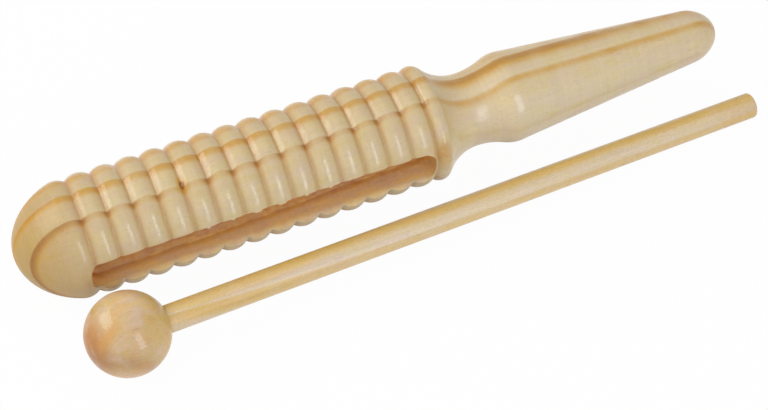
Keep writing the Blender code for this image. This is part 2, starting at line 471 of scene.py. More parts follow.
@dataclass(frozen=True)
class WoodFinish:
    """A varnished wood: its blank, its colours on a screen, and how its figure and its gloss behave.

    Pale is the spring wood at the three stations, and soft the share of a year over which its summer wood
    breaks off. Fibre is how much the fibres shade the wood, and lathe the share of turning marks in that.
    Fleck, mottle and blush are the shares of resin canals, of clouds and of orange and grey patches.
    Relief is the height of the fibres in millimetres, sheen the bare wood's specular level, and underside
    the share of the coat that is left low on the piece. The edges of knot and resin are spans of distance
    in half sizes.
    """

    name: str
    blank: Blank
    pale: tuple[Colour, Colour, Colour]
    honey: Colour
    rust: Colour
    seasons: tuple[Season, ...]
    crossings: tuple[Span, Span]
    soft: Stations
    fibre: float
    lathe: float
    fleck: float
    mottle: float
    blush: float = 0.0
    roughness: float = 0.48
    coat: Stations = even(0.42)
    coat_roughness: float = 0.23
    coat_grit: float = 0.9
    underside: float = 1.0
    underside_span: Span = (-10.0, -3.0)
    relief: float = 0.05
    relief_strength: float = 0.25
    sheen: float = 0.08
    refraction: float = 1.48
    end_tint: Colour = (255, 248, 222)
    # Painted shade: the tint that darkens the bottoms of the grooves.
    groove_shade_tint: Colour = (240, 226, 210)
    cloud_tints: tuple[Colour, Colour] = ((255, 249, 228), (249, 241, 255))
    cloud_shade: float = 0.08
    blush_colours: tuple[Colour, Colour] = ((214, 146, 78), (210, 186, 166))
    blush_cloud: float = 0.6
    knot: Blemish | None = None
    knot_rim: Colour = (144, 88, 0)
    knot_heart: Span = (-0.2, 0.7)
    knot_edge: Span = (0.8, 1.5)
    knot_halo: Span = (0.8, 3.4)
    stain: Blemish | None = None
    resin: Colour = (196, 148, 78)
    resin_edge: Span = (0.2, 1.0)
    resin_share: float = 0.8
    resin_fuzz: float = 0.5

    def material(self, bench: Bench) -> bpy.types.Material:
        """Make the wood for a piece that is turned on a bench.

        Args:
            bench: The piece's axes, which the grain runs along.

        Returns:
            The material.
        """
        made = bpy.data.materials.new(self.name)
        made.use_nodes = True
        desk = Desk(made.node_tree)
        cut = Cut(desk, bench, self.crossings)
        colour = self.with_clouds(cut, self.figure(cut))
        if self.blush:
            colour = self.with_blush(cut, colour)
        colour = self.with_flecks(cut, colour)
        if self.knot:
            colour = self.with_knot(cut, colour)
        if self.stain:
            colour = self.with_stain(cut, colour)

        polish = sum((grain.polish * cut.noise(grain) for grain in (HAIR, STREAK, GRIT)), self.roughness)
        height = sum((grain.height * cut.noise(grain) for grain in (HAIR, STREAK, TURNING, GRIT)), 0.0)
        bump = desk.node("ShaderNodeBump", {}, {
            "Strength": self.relief_strength, "Distance": self.relief * MM, "Height": height})
        shader = desk.node("ShaderNodeBsdfPrincipled", {}, {
            "Base Color": self.with_fibres(cut, colour),
            "Roughness": polish + SLOT_WOOD.roughness * cut.raw,
            "Normal": bump,
            "IOR": self.refraction,
            "Specular IOR Level": self.sheen,
            "Coat Weight": self.varnish(cut),
            "Coat Roughness": self.coat_roughness})
        desk.node("ShaderNodeOutputMaterial", {}, {"Surface": shader})
        return made

    def varnish(self, cut: Cut) -> Sock:
        """Return the weight of the coat: uneven, thinner low on the piece and missing on raw wood."""
        coat = cut.station(self.coat)
        if self.underside < 1.0:
            coat = coat * (self.underside + (1 - self.underside) * cut.up.rise(*self.underside_span))
        return coat * (1 - cut.raw) * (1 + cut.noise(CLOUD) + self.coat_grit * cut.noise(GRIT))

    def figure(self, cut: Cut) -> Sock:
        """Return the colour of the rings: pale spring wood that turns honey, then rust, and breaks off.

        Args:
            cut: The point of the surface.

        Returns:
            The colour.
        """
        desk = cut.desk
        soft = cut.station(self.soft)
        stray = YEAR.streakiness * cut.noise(STREAK) + SLOT_WOOD.cloud_years * cut.raw * cut.noise(CLOUD)
        age = self.blank.years(cut) + stray - soft / 2
        steps = [age.rise(year, year + YEAR.age_step) for year in YEAR.season_ages]
        fields = ("starts", "honey", "rust", "spots")
        start, honey, rust, spots = (self.by_year(name, cut, steps) for name in fields)
        uneven = 1 + YEAR.patchiness * cut.noise(PATCH)
        extra = spots * cut.groove + SLOT_WOOD.summer * cut.raw * cut.raw

        phase = age.fraction()
        lasting = 1 - phase.rise(1 - soft, 1.0)
        full = start * (1 - YEAR.full_at) + YEAR.full_at
        early = YEAR.early_share * phase.rise(start - YEAR.early_by, full)
        glow = ((1 - YEAR.early_share) * phase.rise(start, full) + early) * lasting
        summer = phase.rise(*(full + edge for edge in YEAR.rust_span)) * lasting
        near, middle, far = (linear(colour) for colour in self.pale)
        colour = desk.blend(cut.shares[1], desk.blend(cut.shares[0], near, middle), far)
        colour = desk.blend(glow * (honey * uneven + extra).at_most(1.0), colour, linear(self.honey))
        return desk.blend(summer * (rust * uneven + extra).at_most(1.0), colour, linear(self.rust))

    def by_year(self, name: str, cut: Cut, steps: list[Sock]) -> Sock:
        """Return one of the seasons' numbers at the point's station and year.

        Args:
            name: The seasons' field.
            cut: The point of the surface.
            steps: Whether the wood is past the age at which each season but the first begins.

        Returns:
            The number.
        """
        values = [cut.station(getattr(season, name)) for season in self.seasons]
        total = values[0]
        for step, before, after in zip(steps, values, values[1:]):
            total = total + (after - before) * step
        return total

    def with_clouds(self, cut: Cut, colour: Sock) -> Sock:
        """Return the colour with clouds of yellower and of pinker wood, stronger where it is raw."""
        cloud = cut.noise(CLOUD)
        share = self.mottle * (1 + cut.raw)
        for side, tint in zip((cloud, 0 - cloud), self.cloud_tints):
            colour = cut.desk.tint(colour, linear(tint), side.rise(*CLOUD.span) * share)
        return cut.desk.brighten(colour, 1 - (self.cloud_shade * self.mottle) * cloud)

    def with_blush(self, cut: Cut, colour: Sock) -> Sock:
        """Return the colour with patches of orange and of greyer wood."""
        spread = cut.noise(PATCH) + self.blush_cloud * cut.noise(CLOUD)
        for side, patch in zip((spread, 0 - spread), self.blush_colours):
            colour = cut.desk.blend(side.rise(*PATCH.span) * self.blush, colour, linear(patch))
        return colour

    def with_flecks(self, cut: Cut, colour: Sock) -> Sock:
        """Return the colour with resin canals: dashes along the grain, and dots where it is cut across."""
        canals = cut.spots(DASH) + cut.spots(DOT) * cut.end
        return cut.desk.blend(canals.at_most(1.0) * self.fleck, colour, linear(self.rust))

    def with_knot(self, cut: Cut, colour: Sock) -> Sock:
        """Return the colour with a pin knot: a dark oval rim round a lighter heart, in a honey halo."""
        distance = self.knot.distance(cut)
        rim = distance.rise(*self.knot_heart) * (1 - distance.rise(*self.knot_edge))
        colour = cut.desk.blend(1 - distance.rise(*self.knot_halo), colour, linear(self.honey))
        return cut.desk.blend(rim, colour, linear(self.knot_rim))

    def with_stain(self, cut: Cut, colour: Sock) -> Sock:
        """Return the colour with a fuzzy stain of resin."""
        spread = 1 - self.stain.distance(cut).rise(*self.resin_edge)
        strength = (self.resin_share + self.resin_fuzz * cut.noise(FUZZ)).at_most(1.0)
        return cut.desk.blend(spread * strength, colour, linear(self.resin))

    def with_fibres(self, cut: Cut, colour: Sock) -> Sock:
        """Return the colour with its fibres, painted shade in its grooves, its end grain and its raw wood."""
        grit = (GRIT.shade + SLOT_WOOD.grit * cut.raw) * cut.noise(GRIT)
        strands = STREAK.shade * cut.noise(STREAK) + HAIR.shade * cut.noise(HAIR)
        fibres = strands + self.lathe * cut.noise(TURNING)
        # The raw wood is brightened, partly as painted light that stands in for light reaching into the slot.
        lift = (SLOT_WOOD.lift + SLOT_WOOD.cloud_lift * cut.noise(CLOUD)) * cut.raw
        # Painted shade: the bottoms of the grooves are tinted darker and browner.
        colour = cut.desk.tint(colour, linear(self.groove_shade_tint), cut.groove * cut.groove * cut.groove)
        # Red fuzz on the raw wood, with painted shade as darker red a little way into the slot's mouth.
        colour = SLOT_WOOD.reddened_and_shaded(cut, colour)
        colour = cut.desk.brighten(colour, 1 + self.fibre * (fibres + grit) + lift)
        colour = cut.desk.tint(colour, linear(self.end_tint), cut.end * cut.end)
        return SLOT_WOOD.paled_to_floor(cut, colour)


PINE = WoodFinish(
    name="varnished_pine",
    blank=Blank(pith_side=(-60.0, -2.18, 2.314, -0.285), pith_up=(24.95, -4.438), ring_radius=53.45,
                ring_width=11.0, wander=0.4, growth=(0.0, 1.0542, 0.0685, -0.0426), later=1.9, upright=0.9),
    pale=((192, 165, 115), (209, 189, 146), (216, 199, 160)), honey=(202, 153, 52), rust=(152, 104, 68),
    seasons=(Season((0.60, 0.60, 0.80), (0.20, 0.12, 0.10)),
             Season((0.62, 0.70, 0.60), (0.70, 0.32, 0.74), (0.78, 0.06, 0.03), (0.5, 0.6, 0.2)),
             Season((0.64, 0.54, 0.18), (0.90, 0.80, 0.95), (0.25, 0.05, 0.36), (0.0, 0.1, 0.1)),
             Season((0.45, 0.36, -0.30), (0.80, 0.92, 0.50), (0.2, 0.03, 0.0))),
    crossings=((4.0, 36.0), (150.0, 168.0)), soft=(0.06, 0.07, 0.17),
    fibre=0.06, lathe=1.2, fleck=0.32, mottle=1.0,
    coat=(0.20, 0.75, 0.74), coat_roughness=0.18, underside=0.15,
    knot=Blemish(along=60.3, side=-6.7, up=18.5, half_length=0.8, half_width=1.3, half_height=2.0),
    stain=Blemish(along=152.8, side=-20.2, up=7.0, half_length=3.6, half_width=5.0, half_height=8.0))

STICK = WoodFinish(
    name="varnished_dowel",
    blank=Blank(pith_side=(-40.9, -13.0, 9.75, -3.25, 0.406), pith_up=(-36.0, 0.0), ring_radius=57.7,
                ring_width=6.3, wander=0.5),
    pale=((218, 199, 166), (218, 199, 166), (212, 187, 144)), honey=(216, 181, 106), rust=(176, 124, 66),
    seasons=(Season(even(-0.4), even(0.6)),
             Season((0.20, -0.4, -0.4), (1.0, 0.6, 0.6), (0.15, 0.0, 0.0)),
             Season((-0.4, 0.40, 0.40), even(1.0)),
             Season(even(0.40), even(0.0))),
    crossings=((0.0, 100.0), (222.0, 244.0)), soft=even(0.14),
    fibre=0.13, lathe=0.2, fleck=0.30, mottle=0.8,
    coat=even(0.24), relief=0.08, sheen=0.3, end_tint=(250, 230, 184))

BALL = WoodFinish(
    name="varnished_ball",
    blank=Blank(pith_side=(-30.0, -45.0), pith_up=(-14.0, -20.0), ring_radius=25.0, ring_width=24.0,
                wander=2.5),
    pale=((184, 120, 40), (205, 176, 126), (211, 184, 120)), honey=(232, 204, 150), rust=(150, 94, 42),
    seasons=(Season(even(0.2), even(0.2), even(0.4)),
             Season(even(0.2), even(0.2), (0.5, 0.45, 0.3)),
             Season(even(0.4), even(0.6)),
             Season(even(0.9), even(0.6))),
    crossings=((-15.0, -7.0), (0.0, 12.0)), soft=even(0.30),
    fibre=0.09, lathe=0.6, fleck=0.45, mottle=1.8, blush=0.5,
    coat=even(0.52), coat_roughness=0.14, relief=0.12, sheen=0.3)


def make_piece(name: str, points: Array, quads: Array, triangles: Array) -> bpy.types.Object:
    """Put a surface into a smooth mesh object at the origin.

    Args:
        name: The piece's name.
        points: Its points in metres in the frame.
        quads: Rows of four point numbers.
        triangles: Rows of three point numbers.

    Returns:
        The object, linked to the scene.
    """
    mesh = bpy.data.meshes.new(name)
    mesh.from_pydata(points.tolist(), [], quads.tolist() + triangles.tolist())
    mesh.shade_smooth()
    piece = bpy.data.objects.new(name, mesh)
    bpy.context.scene.collection.objects.link(piece)
    return piece


def carry(piece: bpy.types.Object, mark: Mark, values: Array) -> None:
    """Give a piece a number at each of its points."""
    attribute = piece.data.attributes.new(mark.value, "FLOAT", "POINT")
    attribute.data.foreach_set("value", np.ascontiguousarray(values, np.float32))


def grid_quads(numbers: Array, closed: bool = False) -> Array:
    """Return the quads of a grid of point numbers.

    Args:
        numbers: Point numbers by row and column.
        closed: Whether the last column joins the first.

    Returns:
        The four point numbers of each quad, by row and column.
    """
    if closed:
        numbers = np.concatenate([numbers, numbers[:, :1]], axis=1)
    return np.stack([numbers[:-1, :-1], numbers[:-1, 1:], numbers[1:, 1:], numbers[1:, :-1]], axis=-1)


def end_fans(numbers: Array, poles: tuple[int, int]) -> Array:
    """Return the triangles that close a grid's first row on one pole and its last row on another."""
    first, last = numbers[0], numbers[-1]
    return np.concatenate([
        np.stack([np.roll(first, -1), first, np.full(len(first), poles[0])], axis=-1),
        np.stack([last, np.roll(last, -1), np.full(len(last), poles[1])], axis=-1)])


def border(grid: Array) -> Array:
    """Return what lies round a grid's edge: along its first row, down its last column, back and up again."""
    return np.concatenate([grid[0, :-1], grid[:-1, -1], grid[-1, :0:-1], grid[:0:-1, 0]])


def turned_shell(heights: Array, radii: Array, steps: int) -> tuple[Array, Array, Array]:
    """Carry a profile round its axis: (h, r cos a, r sin a), closed by a point at each end.

    Args:
        heights: Heights along the axis, the first and last of them on it.
        radii: The radius at each height.
        steps: Columns round the axis.

    Returns:
        Points in the piece's own axes, quads and triangles.
    """
    angle = 2 * math.pi * np.arange(steps) / steps
    h, r = heights[1:-1, None], radii[1:-1, None]
    rings = np.stack([h + 0 * angle, r * np.cos(angle), r * np.sin(angle)], axis=-1)
    numbers = np.arange(rings[..., 0].size).reshape(-1, steps)
    poles = np.array([[heights[0], 0, 0], [heights[-1], 0, 0]])
    points = np.concatenate([rings.reshape(-1, 3), poles])
    fans = end_fans(numbers, (numbers.size, numbers.size + 1))
    return points, grid_quads(numbers, closed=True).reshape(-1, 4), fans


def arc(crest: Span, radius: float, angles: Array) -> Array:
    """Return an arc that tops out at a crest, or a hollow one where its radius is negative.

    Args:
        crest: Height and radius of the crest, or of the hollow's bottom.
        radius: The arc's radius, negative for a hollow.
        angles: Angles from the crest.

    Returns:
        Two rows: height + |radius| sin a, and crest - radius (1 - cos a).
    """
    height, top = crest
    return np.stack([height + abs(radius) * np.sin(angles), top - radius * (1 - np.cos(angles))])


class TurnedPiece:
    """What the turned pieces do alike, each with its names, its body, its slot, its wood and its bench."""

    name: str
    node: str
    body: Body
    slot: Slot
    wood: WoodFinish
    bench: Bench

    def lay(self, points: Array, quads: Array, triangles: Array) -> bpy.types.Object:
        """Lay a surface in the frame and mark its end grain: |normal . axis|, how squarely it cuts the grain.

        Args:
            points: Points in the piece's own axes.
            quads: Rows of four point numbers.
            triangles: Rows of three point numbers.

        Returns:
            The piece.
        """
        piece = make_piece(self.name, self.bench.place(points), quads, triangles)
        normals = np.empty(3 * len(points), np.float32)
        piece.data.vertex_normals.foreach_get("vector", normals)
        axis = self.bench.turn.to_matrix() @ LENGTHWAYS
        carry(piece, Mark.END_GRAIN, np.abs(normals.reshape(-1, 3) @ np.array(axis)))
        return piece

    def dress(self, piece: bpy.types.Object) -> None:
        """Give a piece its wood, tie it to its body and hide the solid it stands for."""
        piece.data.materials.append(self.wood.material(self.bench))
        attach(piece, self.body.value)
        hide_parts(self.node)


@dataclass
class RidgedBody(TurnedPiece):
    """The scraper: domed nose, row of beads, collar, waisted neck and tapered handle, with its slot."""

    name: str = "ridged_body_pine"
    node: str = "ridged_body"
    body: Body = Body.SCRAPER
    slot: Slot = Slot.BODY_PINE
    wood: WoodFinish = PINE
    bead_count: int = 14
    bead_pitch: float = 9.0
    groove_depth: float = 1.8
    groove_ease: float = 0.35
    groove_stain_and_shade_reach: float = 1.7
    nose_length: float = 20.3
    nose_step_down: float = 0.4
    nose_flank: float = math.radians(16.8)
    collar_radius: float = 3.7
    collar_to_neck: float = 16.6
    neck_radius: float = 13.75
    neck_to_shoulder: float = 16.0
    shoulder_edge: float = 16.95
    shoulder_radius: float = 14.0
    handle_length: float = 75.0
    handle_end_radius: float = 10.0
    handle_cap: float = 10.9
    slot_half_width: float = 6.0
    slot_corner: float = 4.2
    slot_before_groove: float = 2.3
    slot_short_of_groove: float = 0.4
    lip_radius: float = 3.0
    lip_start_below_crest: float = 4.2
    lip_shallower: float = 0.6
    lip_pilot_gap: float = 0.1
    mouth_ease: float = 0.45
    floor_fillet: float = 2.4
    raw_over_edge: float = 0.4
    raw_on_lip: float = 0.5
    arc_rows: int = 16
    corner_rows: int = 8
    ease_rows: int = 5
    wall_rows: int = 14
    round_columns: int = 128
    slot_columns: int = 16
    widest_mouth: float = 0.42
    lip_rounds: int = 20

    def __post_init__(self) -> None:
        """Take the crest, the axis and the slot's tilt and floor from the frame, and set out the grooves."""
        low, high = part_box(self.node)
        self.crest = (high.z - low.z) / 2 / MM
        self.bench = Bench(Vector((low.x, (low.y + high.y) / 2, low.z + self.crest * MM)), Euler((0, 0, 0)))
        floor = mount("slot_floor")
        self.out = Vector(floor["axis"])
        self.floor = (Vector(floor["pos_m"]) - self.bench.start).dot(self.out) / MM
        self.bead_radius = ((self.bead_pitch / 2) ** 2 + self.groove_depth ** 2) / (2 * self.groove_depth)
        self.bead_reach = math.asin(self.bead_pitch / 2 / self.bead_radius)
        self.nose_down = math.acos(1 - (self.groove_depth - self.nose_step_down) / self.bead_radius)
        self.first_groove = self.nose_length + self.bead_radius * math.sin(self.nose_down)
        self.last_groove = self.first_groove + self.bead_count * self.bead_pitch
        self.mouth_low = round(self.first_groove - self.slot_before_groove - self.mouth_ease, DECIMALS)
        self.mouth_high = round(self.last_groove - self.slot_short_of_groove + self.mouth_ease, DECIMALS)
        self.mouth_corner = self.slot_corner + self.mouth_ease
        self.between_corners = self.slot_half_width - self.slot_corner

    def nose(self) -> Array:
        """Return the nose: an elliptic dome, (a (1 - cos t), b sin t), and an arc over its widest ring."""
        crest = (self.nose_length, self.crest - self.nose_step_down)
        over = arc(crest, self.bead_radius, np.linspace(-self.nose_flank, self.nose_down, self.arc_rows))
        end_height, end_radius = over[:, 0]
        run = end_radius / math.tan(self.nose_flank)
        half_length = end_height * (run - end_height) / (run - 2 * end_height)
        end_angle = math.acos(1 - end_height / half_length)
        angles = np.linspace(0, end_angle, 3 * self.arc_rows)
        dome = np.stack([half_length * (1 - np.cos(angles)),
                         end_radius / math.sin(end_angle) * np.sin(angles)])
        return np.concatenate([dome, over[:, 1:]], axis=1)

    def beads(self) -> Array:
        """Return the beads: an arc with its rows bunched at both grooves, set out by the pitch."""
        angles = self.bead_reach * np.sin(np.linspace(-math.pi / 2, math.pi / 2, self.arc_rows + 1))
        one = arc((0.5 * self.bead_pitch, self.crest), self.bead_radius, angles)[:, 1:]
        starts = self.first_groove + self.bead_pitch * np.arange(self.bead_count)
        return np.stack([(starts[:, None] + one[0]).ravel(), np.tile(one[1], self.bead_count)])

    def handle(self) -> Array:
        """Return collar, the neck's two ogees, cone and domed end, r = (e - taper (h - c)) cos t."""
        up = math.acos(1 - self.groove_depth / self.collar_radius)
        collar = (self.last_groove + self.collar_radius * math.sin(up), self.crest)
        neck = (collar[0] + self.collar_to_neck, self.neck_radius)
        shoulder = (neck[0] + self.neck_to_shoulder, self.shoulder_edge)
        cap = shoulder[0] + self.handle_length
        taper = (self.shoulder_edge - self.handle_end_radius) / self.handle_length
        cove_turn = 2 * math.atan2(collar[1] - neck[1], self.collar_to_neck)
        flare_turn = 2 * math.atan2(shoulder[1] - neck[1], self.neck_to_shoulder)
        cove = self.collar_to_neck / math.sin(cove_turn) - self.collar_radius
        flare = self.neck_to_shoulder / math.sin(flare_turn) - self.shoulder_radius
        rows = self.arc_rows
        cone = np.linspace(shoulder[0] + self.shoulder_radius * math.sin(math.atan(taper)), cap, 2 * rows)
        dome = np.linspace(0, math.pi / 2, 2 * rows)
        height = cap + self.handle_cap * np.sin(dome)
        return np.concatenate([
            arc(collar, self.collar_radius, np.linspace(-up, cove_turn, 2 * rows))[:, 1:],
            arc(neck, -cove, np.linspace(-cove_turn, 0, rows))[:, 1:],
            arc(neck, -flare, np.linspace(0, flare_turn, rows))[:, 1:],
            arc(shoulder, self.shoulder_radius, np.linspace(-flare_turn, math.atan(taper), rows))[:, 1:],
            np.stack([cone, self.handle_end_radius + taper * (cap - cone)])[:, 1:-1],
            np.stack([height, (self.handle_end_radius - taper * (height - cap)) * np.cos(dome)])], axis=1)

    def from_groove(self, heights: Array) -> Array:
        """Return each height's distance to the nearest groove of the row."""
        inside = np.clip(heights - self.first_groove, 0, self.bead_count * self.bead_pitch)
        nearest = self.first_groove + self.bead_pitch * np.round(inside / self.bead_pitch)
        return np.abs(heights - nearest)

    def from_mouth_end(self, heights: Array) -> Array:
        """Return each height's distance to the nearer end of the slot's mouth, negative outside it."""
        return np.minimum(heights - self.mouth_low, self.mouth_high - heights)

    def rows(self) -> tuple[Array, Array]:
        """Return the heights of the mesh's rows and their radii, with every groove's bottom rounded.

        The rounding adds s (q - d)^2 / 2q within q of a groove, where s is the beads' slope there.
        """
        heights, radii = np.concatenate([self.nose(), self.beads(), self.handle()], axis=1)
        corner = self.mouth_corner * (1 - np.cos(np.linspace(0, math.pi / 2, self.corner_rows + 1)))
        ends = [self.mouth_low + corner, self.mouth_high - corner]
        rows = np.unique(np.round(np.concatenate([heights, *ends]), DECIMALS))
        short = np.maximum(self.groove_ease - self.from_groove(rows), 0)
        rounding = math.tan(self.bead_reach) * short ** 2 / (2 * self.groove_ease)
        return rows, np.interp(rows, heights, radii) + rounding

    def mouth_half_width(self, heights: Array, radii: Array) -> Array:
        """Return half the mouth's width, which falls short by R - sqrt(R^2 - (R - d)^2) at its corners.

        Args:
            heights: Heights of the rows.
            radii: The turned radius at each of them.

        Returns:
            The half width, with what the rounded lips add to it.
        """
        corner = self.mouth_corner
        inward = np.clip(self.from_mouth_end(heights), 0, corner)
        rounded = np.sqrt(corner ** 2 - (corner - inward) ** 2)
        return self.between_corners + rounded + self.lip_growth(heights, radii)

    def lip_growth(self, heights: Array, radii: Array) -> Array:
        """Return how far the round-over widens the slot where it comes out of the turned surface.

        The bit's arc is (half width - gap + R (1 - cos s), start + R sin s) across and out. It meets the
        surface where the distance to the axis is the turned radius, which some rounds of putting one into
        the other find. The arc starts higher by a share squared towards the slot's ends, and fades out over
        its corners.

        Args:
            heights: Heights along the axis.
            radii: The turned radius at each of them.

        Returns:
            The growth of the half width.
        """
        share = 2 * (heights - self.first_groove) / (self.last_groove - self.first_groove) - 1
        start = self.crest - self.lip_start_below_crest + self.lip_shallower * share ** 2
        growth = np.zeros_like(heights)
        for _ in range(self.lip_rounds):
            out = np.sqrt(np.maximum(radii ** 2 - (self.slot_half_width + growth) ** 2, 0))
            sweep = np.arcsin(np.clip((out - start) / self.lip_radius, 0, 1))
            growth = np.maximum(self.lip_radius * (1 - np.cos(sweep)) - self.lip_pilot_gap, 0)
        fade = np.clip(self.from_mouth_end(heights) / self.mouth_corner, 0, 1)
        return growth * fade * fade * (3 - 2 * fade)

    def skin(self, rows: Array, radii: Array) -> Array:
        """Return the turned surface as a grid: (h, r cos f, r sin f), with f measured from the slot's middle.

        Columns 0 to slot_columns cross the slot's mouth, evenly between its sides. The rest go round.

        Args:
            rows: Heights of the rows.
            radii: The radius at each of them.

        Returns:
            Points along the axis, out of the slot and across it.
        """
        share = self.mouth_half_width(rows, radii) / np.maximum(radii, TINY)
        edge = np.minimum(share, self.widest_mouth)[:, None]
        front = np.arcsin(edge * np.linspace(-1, 1, self.slot_columns + 1))
        round_share = np.linspace(0, 1, self.round_columns + 1)[1:-1]
        back = np.arcsin(edge) + (2 * math.pi - 2 * np.arcsin(edge)) * round_share
        angle = np.concatenate([front, back], axis=1)
        radius = radii[:, None]
        return np.stack([rows[:, None] + 0 * angle, radius * np.cos(angle), radius * np.sin(angle)], axis=-1)

    def pocket(self, loop: Array, rows: Array, radii: Array) -> tuple[Array, Array]:
        """Sink the slot from its mouth: rounded lips, straight walls and a fillet, as one ring in another.

        A ring is the mouth's outline moved inwards along its own normal. From the surface a curve
        (1 - u)^2 a + 2 u (1 - u) b + u^2 c eases the edge b of the lip. The lip is an arc that is
        R (1 - cos s) wider than the wall and falls by R sin s. The fillet moves in by f (1 - cos s) and ends
        level with the floor.

        Args:
            loop: Points of the mouth's outline on the turned surface.
            rows: Heights of the turned surface's rows.
            radii: The radius at each of them.

        Returns:
            Points of the rings below it, as rings by loop by three, and how raw the wood is on each ring.
        """
        plan = loop[:, [0, 2]]
        core = np.stack([
            np.clip(plan[:, 0], self.mouth_low + self.mouth_corner, self.mouth_high - self.mouth_corner),
            np.clip(plan[:, 1], -self.between_corners, self.between_corners)], axis=1)
        normal = (plan - core) / np.linalg.norm(plan - core, axis=1, keepdims=True)
        edge = plan - normal * self.mouth_ease
        edge_level = np.sqrt(np.interp(edge[:, 0], rows, radii) ** 2 - edge[:, 1] ** 2)

        wider = self.lip_growth(loop[:, 0], np.hypot(loop[:, 1], loop[:, 2]))
        sweep = np.arccos(1 - wider / self.lip_radius)
        eased = np.maximum(sweep - self.mouth_ease / self.lip_radius, 0)
        straight = np.maximum(self.mouth_ease - sweep * self.lip_radius, 0)
        run = np.linspace(0, 1, self.ease_rows + 1)[1:, None]
        outer, middle, inner = (1 - run) ** 2, 2 * run * (1 - run), run ** 2
        lip = eased * (1 - run)
        lip_level = edge_level - straight - self.lip_radius * (np.sin(sweep) - np.sin(lip))
        eased_level = edge_level - straight - self.lip_radius * (np.sin(sweep) - np.sin(eased))
        eased_wider = self.lip_radius * (1 - np.cos(eased))
        down = np.linspace(0, 1, self.wall_rows + 1)[1:, None]
        quarter = math.pi / 2 * run
        foot = self.floor + self.floor_fillet
        level = np.concatenate([outer * loop[:, 1] + middle * edge_level + inner * eased_level,
                                lip_level,
                                lip_level[-1] + (foot - lip_level[-1]) * down,
                                self.floor + self.floor_fillet * (1 - np.sin(quarter)) + 0 * edge_level])
        offset = np.concatenate([outer * (wider + self.mouth_ease) + middle * wider + inner * eased_wider,
                                 self.lip_radius * (1 - np.cos(lip)),
                                 0 * down + 0 * wider,
                                 -self.floor_fillet * (1 - np.cos(quarter)) + 0 * wider])
        moved = plan - normal * (wider + self.mouth_ease - offset)[..., None]
        raw = np.concatenate([np.linspace(0.0, self.raw_over_edge, len(run)),
                              np.linspace(self.raw_on_lip, 1.0, len(run)),
                              np.ones(len(down) + len(quarter))])
        return np.stack([moved[..., 0], level, moved[..., 1]], axis=-1), raw

    def build(self) -> bpy.types.Object:
        """Join the turned skin, its two ends, the slot's rings and its floor into one closed mesh.

        Returns:
            The piece, with its end grain, grooves and raw wood marked at its points.
        """
        rows, radii = self.rows()
        skin = self.skin(rows, radii)
        numbers = np.arange(skin[..., 0].size).reshape(skin.shape[:2])
        start, stop = np.searchsorted(rows, (self.mouth_low, self.mouth_high))
        mouth = numbers[start:stop + 1, :self.slot_columns + 1]
        loop = border(mouth)
        rings, ring_raw = self.pocket(skin.reshape(-1, 3)[loop], rows, radii)
        ring_numbers = numbers.size + np.arange(rings[..., 0].size).reshape(rings.shape[:2])
        points = np.concatenate([skin.reshape(-1, 3), rings.reshape(-1, 3)])

        floor = np.full(mouth.shape, -1)
        floor.flat[border(np.arange(mouth.size).reshape(mouth.shape))] = ring_numbers[-1]
        inner = floor < 0
        across = np.linspace(0, 1, self.slot_columns + 1)[:, None]
        level = points[floor[:, 0]][:, None] * (1 - across) + points[floor[:, -1]][:, None] * across
        floor[inner] = len(points) + np.arange(inner.sum())
        points = np.concatenate([points, level[inner]])

        covered = np.ones((len(rows) - 1, numbers.shape[1]), bool)
        covered[start:stop, :self.slot_columns] = False
        covered[[0, -1]] = False
        walls = grid_quads(np.concatenate([loop[None], ring_numbers]), closed=True)
        quads = np.concatenate([grid_quads(numbers, closed=True)[covered], walls.reshape(-1, 4),
                                grid_quads(floor).reshape(-1, 4)])
        triangles = end_fans(numbers[1:-1], (numbers[0, 0], numbers[-1, 0]))
        # Nearness to a groove: it sets the summer wood's spots there, and its cube sets the painted shade in
        # the grooves.
        stain = np.exp(-(self.from_groove(rows) / self.groove_stain_and_shade_reach) ** 2)
        groove = np.concatenate([np.repeat(stain, numbers.shape[1]), np.zeros(len(points) - numbers.size)])
        raw = np.concatenate([np.zeros(numbers.size), np.repeat(ring_raw, len(loop)), np.ones(inner.sum())])
        return self.finish(points, quads, triangles, {Mark.GROOVE: groove, Mark.RAW: raw})

    def finish(self, points: Array, quads: Array, triangles: Array,
               marks: dict[Mark, Array]) -> bpy.types.Object:
        """Drop the points that no face uses, lay the piece in the frame and mark it.

        Args:
            points: Points along the axis, out of the slot and across it.
            quads: Rows of four point numbers.
            triangles: Rows of three point numbers.
            marks: What the mesh says of its wood, at each point.

        Returns:
            The piece.
        """
        used = np.unique(np.concatenate([quads.ravel(), triangles.ravel()]))
        renumber = np.zeros(len(points), int)
        renumber[used] = np.arange(len(used))
        axes = np.array([LENGTHWAYS, self.out, LENGTHWAYS.cross(self.out)])
        piece = self.lay(points[used] @ axes, renumber[quads], renumber[triangles])
        for mark, values in marks.items():
            carry(piece, mark, values[used])
        return piece


